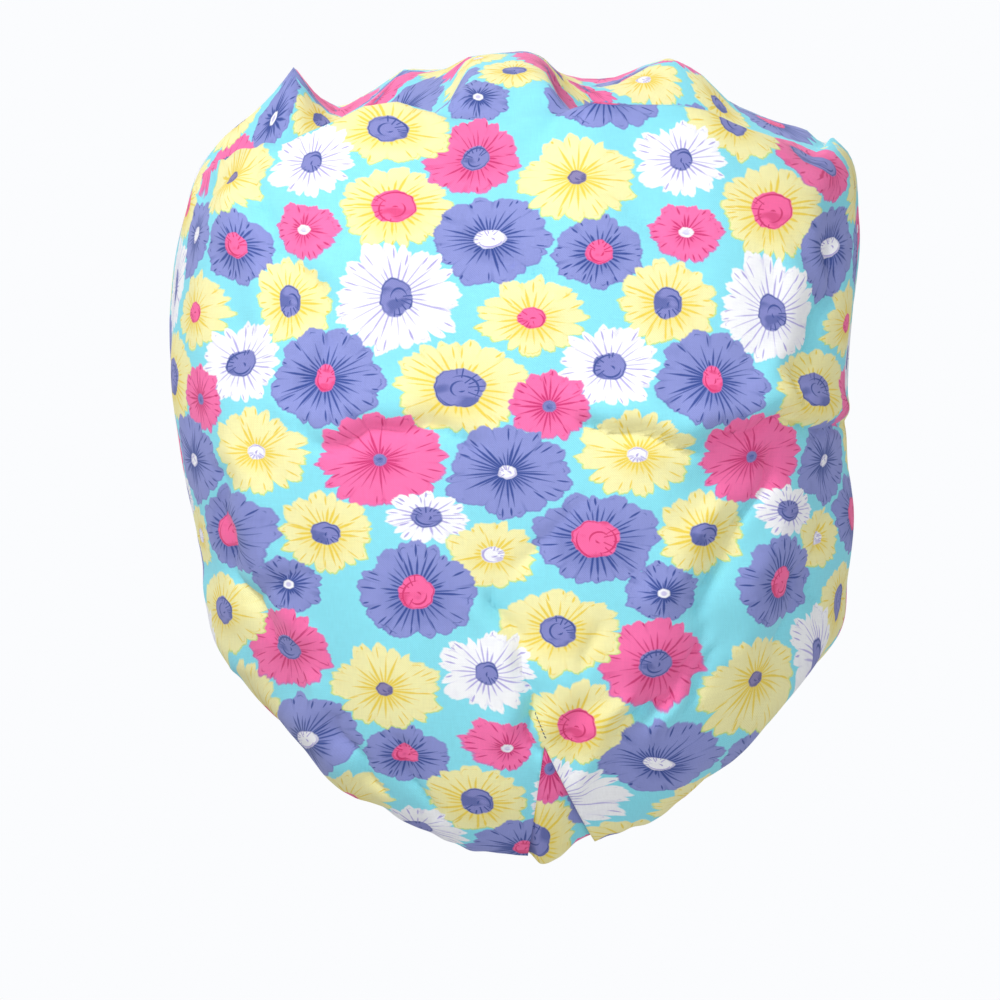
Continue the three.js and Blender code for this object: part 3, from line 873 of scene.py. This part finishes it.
def apply_modifier(piece, name):
    bpy.ops.object.select_all(action="DESELECT")
    piece.select_set(True)
    bpy.context.view_layer.objects.active = piece
    bpy.ops.object.modifier_apply(modifier=name)


def give_wall(piece, thickness):
    """Thickens a sheet of cloth inwards; its wrong side takes the second material."""
    wall = piece.modifiers.new("wall", "SOLIDIFY")
    wall.thickness = thickness * MM
    wall.offset = -1
    wall.use_even_offset = False
    wall.material_offset = 1
    wall.material_offset_rim = 0
    apply_modifier(piece, "wall")


def finish_cloth(piece, name, thickness):
    """Prints a sheet of cloth on both sides, paler on the wrong one, and gives it its thickness."""
    lay_print(piece.data)
    piece.data.materials.append(printed_cotton(f"{name} cotton"))
    piece.data.materials.append(printed_cotton(f"{name} cotton wrong side", fade=WRONG_SIDE_FADE))
    give_wall(piece, thickness)


def open_nape(mesh, keep_inside=None):
    """Cuts the V out of a mesh, or with keep_inside keeps only the V and that margin round it."""
    cutting = bmesh.new()
    cutting.from_mesh(mesh)
    apex = np.array([V_APEX[0], 0, V_APEX[1]])
    sides = []
    for foot, toward in ((V_LEFT_FOOT, -1), (V_RIGHT_FOOT, 1)):
        run = np.array([foot[0], 0, foot[1]]) - apex
        normal = np.cross(run, (0, 1, 0))
        normal *= toward * np.sign(normal[0]) / np.linalg.norm(normal)
        place = apex - normal * (keep_inside or 0)
        sides.append((normal, place))
        near = [face for face in cutting.faces
                if face.calc_center_median().y > NAPE_FROM_Y * MM
                and abs(face.calc_center_median().x) < NAPE_HALF_WIDTH * MM
                and face.calc_center_median().z < NAPE_BELOW_Z * MM]
        edges = {edge for face in near for edge in face.edges}
        corners = {corner for face in near for corner in face.verts}
        bmesh.ops.bisect_plane(cutting, geom=near + list(edges) + list(corners), dist=1e-6,
                               plane_co=place * MM, plane_no=normal)
    inside = []
    for face in cutting.faces:
        middle = np.array(face.calc_center_median())
        within = middle[1] > NAPE_FROM_Y * MM and all(
            (middle - place * MM) @ normal > 0 for normal, place in sides)
        if within != (keep_inside is not None):
            inside.append(face)
    bmesh.ops.delete(cutting, geom=inside, context="FACES")
    cutting.to_mesh(mesh)
    cutting.free()
    mesh.update()


open_nape(bag_mesh)
finish_cloth(crown_bag, "printed", CLOTH_THICKNESS)

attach(crown_bag, "root")
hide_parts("crown_bag")

# ---------------------------------------------------------------------------------------------
# Nape gusset: a short strip of the same cotton, cut across the print, that closes the V at the
# nape from behind. It is caught under both edges of the bag and hems a little lower than they do.

GUSSET_COLUMNS, GUSSET_ROWS = 90, 64
GUSSET_AROUND = (-0.075, 0.022)
GUSSET_UP = (0.02, 0.3)
GUSSET_DEPTH = 1.8
GUSSET_DROP = 3.4
GUSSET_UNDERLAP = 7
# Where the gusset's print lies: the height on the nape that takes each place across the cloth, and
# how far the stretched strip draws the print out.
GUSSET_ACROSS, GUSSET_STRETCH = 15.9, 0.86
GUSSET_TOP = -24
GUSSET_UPWARD = 180

gusset_around, gusset_up = np.meshgrid(np.linspace(*GUSSET_AROUND, GUSSET_COLUMNS),
                                       np.linspace(*GUSSET_UP, GUSSET_ROWS))
gusset_points = folded_bag(gusset_around, gusset_up)
gusset_points -= facing(smooth_bag, gusset_around, gusset_up) * GUSSET_DEPTH
between_feet = (ease(gusset_points[..., 0], V_RIGHT_FOOT[0] + 1, V_RIGHT_FOOT[0] + 8)
                * (1 - ease(gusset_points[..., 0], V_LEFT_FOOT[0] - 4, V_LEFT_FOOT[0] + 1)))
gusset_points[..., 2] -= GUSSET_DROP * between_feet * (1 - ease(gusset_up, 0.08, 0.2))
gusset_points[..., 1] += 1.2 * between_feet * ease(gusset_up, 0.06, 0.12)
gusset_length = run_along(gusset_points)
at_top = np.argmin(np.abs(gusset_points[:, GUSSET_COLUMNS // 2, 2] - GUSSET_TOP))
gusset_length -= gusset_length[at_top]
gusset_cells = [(row * GUSSET_COLUMNS + column + 1, row * GUSSET_COLUMNS + column,
                 (row + 1) * GUSSET_COLUMNS + column, (row + 1) * GUSSET_COLUMNS + column + 1)
                for row in range(GUSSET_ROWS - 1) for column in range(GUSSET_COLUMNS - 1)]
gusset_mesh = bpy.data.meshes.new("nape gusset")
gusset_mesh.from_pydata((gusset_points.reshape(-1, 3) * MM).tolist(), [], gusset_cells)
gusset_cloth = np.stack([GUSSET_ACROSS + GUSSET_STRETCH * gusset_length,
                         GUSSET_UPWARD + gusset_points[..., 0] - V_APEX[0]], axis=-1).reshape(-1, 2)
gusset_map = gusset_mesh.uv_layers.new(name="cloth")
gusset_corners = np.array([loop.vertex_index for loop in gusset_mesh.loops])
gusset_map.data.foreach_set("uv", gusset_cloth[gusset_corners].astype(np.float32).ravel())
gusset_mesh.update()
gusset = bpy.data.objects.new("nape_strip", gusset_mesh)
bpy.context.scene.collection.objects.link(gusset)
open_nape(gusset_mesh, keep_inside=GUSSET_UNDERLAP)
gusset_mesh.shade_smooth()
finish_cloth(gusset, "gusset", CLOTH_THICKNESS)

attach(gusset, "root")
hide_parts("nape_gusset")

# ---------------------------------------------------------------------------------------------
# Dart stitches: a few short stitches of dark thread that close the dart above the gusset. They're
# sewn by machine through both edges of the bag and pull the cloth in a little.

STITCH_COUNT = 7
STITCH_LENGTH, STITCH_THICKNESS = 1.3, 0.45
STITCH_TOP, STITCH_FOOT = (-7.6, -8.4), (-10.8, -16.6)
STITCH_SUNK, STITCH_SEEN_FROM = 0.05, 200

sewn_on = mathutils.bvhtree.BVHTree.FromPolygons([corner.co for corner in bag_mesh.vertices],
                                                 [tuple(face.vertices) for face in bag_mesh.polygons])
bpy.ops.mesh.primitive_uv_sphere_add(segments=12, ring_count=8, radius=0.5 * MM, location=(0, 0, 0))
stitch = bpy.context.object
stitch.scale = (STITCH_THICKNESS, STITCH_THICKNESS, STITCH_LENGTH)
bpy.ops.object.transform_apply(location=False, rotation=False, scale=True)
bpy.ops.object.shade_smooth()
stitch_run = mathutils.Vector((STITCH_FOOT[0] - STITCH_TOP[0], 0, STITCH_FOOT[1] - STITCH_TOP[1]))
stitches = [stitch]
for number in range(1, STITCH_COUNT):
    bpy.ops.object.select_all(action="DESELECT")
    stitch.select_set(True)
    bpy.context.view_layer.objects.active = stitch
    bpy.ops.object.duplicate()
    stitches.append(bpy.context.object)
for number, sewn in enumerate(stitches):
    along = number / (STITCH_COUNT - 1)
    above = mathutils.Vector((STITCH_TOP[0] + stitch_run.x * along, STITCH_SEEN_FROM,
                              STITCH_TOP[1] + stitch_run.z * along))
    place, out, *_ = sewn_on.ray_cast(above * MM, (0, -1, 0))
    sewn.location = place - out * STITCH_SUNK * MM
    run = (stitch_run - out * stitch_run.dot(out)).normalized()
    sewn.rotation_euler = run.to_track_quat("Z", "Y").to_euler()
bpy.ops.object.select_all(action="DESELECT")
for sewn in stitches:
    sewn.select_set(True)
bpy.context.view_layer.objects.active = stitch
bpy.ops.object.join()
bpy.ops.object.transform_apply(location=True, rotation=True, scale=True)
stitch.name = "dart_stitches"
thread = bpy.data.materials.new("dark thread")
thread.use_nodes = True
thread_shader = thread.node_tree.nodes["Principled BSDF"]
thread_shader.inputs["Base Color"].default_value = linear(58, 62, 92) + (1,)
thread_shader.inputs["Roughness"].default_value = 0.6
stitch.data.materials.append(thread)

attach(stitch, "root")

# ---------------------------------------------------------------------------------------------
# Forehead band: a strip of the same cotton folded double along its lower edge. It runs from ear to
# ear round the front, and the gathered front of the bag is sewn down over its top edge.

BAND_COLUMNS = 240
BAND_START, BAND_END = 0.28, 0.72
BAND_SQUARENESS = 2.2
BAND_TOP = {"left": 89, "right": 97, "fore": -93}
BAND_FOOT = {"left": 84, "right": 87, "fore": -97}
BAND_LOWER_EDGE_AT_EARS, BAND_LOWER_EDGE_AT_FRONT = -15, 0
BAND_THICKNESS = 2.0
BAND_SEAM_GAP = -1.5
BAND_FACE_ROWS = 22
BAND_FOLD_STEPS = 6
BAND_PUFF = 0.5
BAND_RIPPLES = 37


def band_point(around, down):
    """A point on the outer face of the band. down: 0 at its top edge, 1 at its lower edge."""
    side, fore = np.sin(2 * np.pi * around), -np.cos(2 * np.pi * around)
    corner = np.abs(side) ** BAND_SQUARENESS + np.abs(fore) ** BAND_SQUARENESS
    corner = corner ** (1 / BAND_SQUARENESS)
    size = {name: BAND_TOP[name] + (BAND_FOOT[name] - BAND_TOP[name]) * down for name in BAND_TOP}
    free_edge = smooth_bag(around, np.full_like(around, 1 / (len(RINGS) - 1)))[..., 2] - BAND_SEAM_GAP
    climb = BAND_LOWER_EDGE_AT_FRONT - BAND_LOWER_EDGE_AT_EARS
    lower_edge = BAND_LOWER_EDGE_AT_EARS + climb * ease(fore, -0.2, 1)
    return np.stack([side / corner * np.where(side > 0, size["left"], size["right"]),
                     fore / corner * size["fore"],
                     free_edge + (lower_edge - free_edge) * down], axis=-1)


# The strip's section: down the outer face, round the fold and up the inner face.
fold_turns = np.linspace(0, math.pi, BAND_FOLD_STEPS + 1)[1:-1]
section = [(down, 0.0, 0.0) for down in np.linspace(0.01, 1, BAND_FACE_ROWS)]
section += [(1.0, 0.5 - 0.5 * math.cos(turn), 0.5 * math.sin(turn)) for turn in fold_turns]
section += [(down, 1.0, 0.0) for down in np.linspace(1, 0.01, BAND_FACE_ROWS)]
band_around = np.linspace(BAND_START, BAND_END, BAND_COLUMNS)
top_line = band_point(band_around, np.zeros_like(band_around))
ahead = np.gradient(top_line, axis=0)
inward = np.stack([ahead[:, 1], -ahead[:, 0], np.zeros(BAND_COLUMNS)], axis=-1)
inward /= np.linalg.norm(inward, axis=-1, keepdims=True)
middle_line = band_point(band_around, np.full_like(band_around, 0.5))
band_run = run_along(middle_line)
band_rows = []
for down, inside, beyond in section:
    point = band_point(band_around, np.full_like(band_around, down))
    ripple = np.sin(BAND_RIPPLES * 2 * np.pi * band_around) * (1 - down) ** 2
    puff = BAND_PUFF * math.sin(math.pi * down) * (1 + ripple)
    point = point + inward * (BAND_THICKNESS * inside - puff * (1 - 2 * inside))[..., None]
    point[:, 2] -= beyond * BAND_THICKNESS
    band_rows.append(point)
band_points = np.stack(band_rows)
band_down = run_along(band_points[:, BAND_COLUMNS // 2])
band_uv = np.stack(np.broadcast_arrays(-band_run[None, :], -band_down[:, None]), axis=-1).reshape(-1, 2)
band_cells = [(row * BAND_COLUMNS + column, row * BAND_COLUMNS + column + 1,
               (row + 1) * BAND_COLUMNS + column + 1, (row + 1) * BAND_COLUMNS + column)
              for row in range(len(section) - 1) for column in range(BAND_COLUMNS - 1)]
band_mesh = bpy.data.meshes.new("forehead band")
band_mesh.from_pydata((band_points.reshape(-1, 3) * MM).tolist(), [], band_cells)
band_map = band_mesh.uv_layers.new(name="cloth")
band_corners = np.array([loop.vertex_index for loop in band_mesh.loops])
band_map.data.foreach_set("uv", band_uv[band_corners].astype(np.float32).ravel())
band_mesh.update()
band = bpy.data.objects.new("front_band", band_mesh)
bpy.context.scene.collection.objects.link(band)
band_mesh.shade_smooth()
finish_cloth(band, "band", BAND_CLOTH_THICKNESS)

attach(band, "root")
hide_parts("forehead_band")

# ---------------------------------------------------------------------------------------------
# Studio

VIEW_MIDDLE = (4.4 * MM, 0, 52.4 * MM)
VIEW_DISTANCE = 1.6
VIEW_RISE = math.radians(5)
VIEW_WIDTH = 363.6 * MM
SENSOR_WIDTH = 36
camera_data = bpy.data.cameras.new("camera")
camera_data.sensor_width = SENSOR_WIDTH
camera_data.lens = SENSOR_WIDTH * VIEW_DISTANCE / VIEW_WIDTH
camera = bpy.data.objects.new("camera", camera_data)
bpy.context.scene.collection.objects.link(camera)
camera.location = (VIEW_MIDDLE[0], VIEW_DISTANCE * math.cos(VIEW_RISE),
                   VIEW_MIDDLE[2] + VIEW_DISTANCE * math.sin(VIEW_RISE))
camera.rotation_euler = (math.radians(90) - VIEW_RISE, 0, math.radians(180))
bpy.context.scene.camera = camera

# A white room: the floor and the walls are one even white, lit softly from above and behind the cap.
ROOM_WHITE = linear(251, 252, 254)
ROOM_LIGHT = 0.55
ROOM_SIZE, FLOOR_HEIGHT = 400, -0.45
LIT_PLACE = (0, 0, 0.07)
bpy.ops.mesh.primitive_plane_add(size=ROOM_SIZE, location=(0, 0, FLOOR_HEIGHT))
floor = bpy.context.object
floor.name = "floor"
floor_white = bpy.data.materials.new("white floor")
floor_white.use_nodes = True
floor_tree = floor_white.node_tree
floor_tree.nodes.remove(floor_tree.nodes["Principled BSDF"])
floor_light = floor_tree.nodes.new("ShaderNodeEmission")
floor_light.inputs["Color"].default_value = tuple(ROOM_WHITE) + (1,)
floor_tree.links.new(floor_light.outputs[0], floor_tree.nodes["Material Output"].inputs["Surface"])
floor.data.materials.append(floor_white)
floor.visible_diffuse = False
floor.visible_glossy = False
world = bpy.data.worlds.new("white room")
bpy.context.scene.world = world
world.use_nodes = True
world_tree = world.node_tree
backdrop = world_tree.nodes["Background"]
backdrop.inputs["Color"].default_value = tuple(ROOM_WHITE) + (1,)
seen = world_tree.nodes.new("ShaderNodeLightPath")
strength = world_tree.nodes.new("ShaderNodeMix")
strength.inputs[2].default_value = ROOM_LIGHT
strength.inputs[3].default_value = 1.0
world_tree.links.new(seen.outputs["Is Camera Ray"], strength.inputs[0])
world_tree.links.new(strength.outputs[0], backdrop.inputs["Strength"])


def soft_box(name, place, size, power):
    light = bpy.data.lights.new(name, "AREA")
    light.energy = power
    light.size = size
    lamp = bpy.data.objects.new(name, light)
    bpy.context.scene.collection.objects.link(lamp)
    lamp.location = place
    away = mathutils.Vector(place) - mathutils.Vector(LIT_PLACE)
    lamp.rotation_euler = away.to_track_quat("Z", "Y").to_euler()


soft_box("key", (0.85, 1.35, 1.3), 0.4, 23)
soft_box("fill", (-0.4, 1.6, -0.3), 0.9, 8)
soft_box("front", (0.3, -1.8, 1.4), 1.2, 16)
bpy.context.scene.view_settings.view_transform = "Standard"
